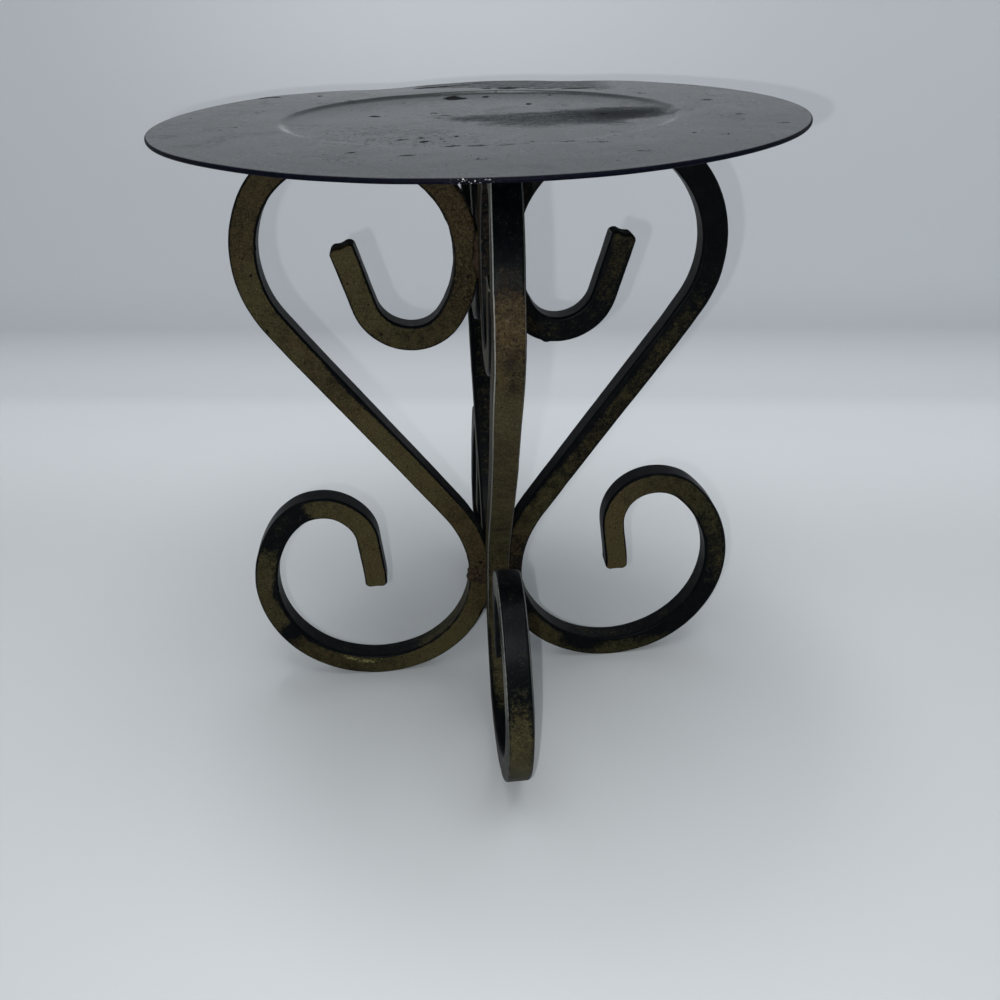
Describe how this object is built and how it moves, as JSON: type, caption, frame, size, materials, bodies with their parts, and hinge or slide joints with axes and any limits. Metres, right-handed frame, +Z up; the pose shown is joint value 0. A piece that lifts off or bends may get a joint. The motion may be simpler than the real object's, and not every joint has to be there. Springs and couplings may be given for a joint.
{
  "type": "candle stand",
  "caption": "Round steel candle dish with a shallow recess on welded S-scroll legs of square bar, painted black with worn bronze dabs.",
  "frame": {"origin": "on the floor under the middle of the dish, at the centre of the circle that the legs stand on", "axes": "+Z up along the axis of the dish; +X along the right-hand leg; -Y along the leg at the front of the picture"},
  "size_m": [0.19, 0.19, 0.207],
  "materials": {
    "dish_paint": "satin",
    "leg_paint": "satin",
    "weld_metal": "rough"
  },
  "bodies": {
    "root": {"dish_plate": "dish_paint", "scroll_leg_front": "leg_paint", "scroll_leg_right": "leg_paint", "scroll_leg_back": "leg_paint", "scroll_leg_left": "leg_paint", "upper_weld_beads": "weld_metal", "lower_weld_beads": "weld_metal", "plate_weld_beads": "weld_metal"}
  },
  "joints": []
}
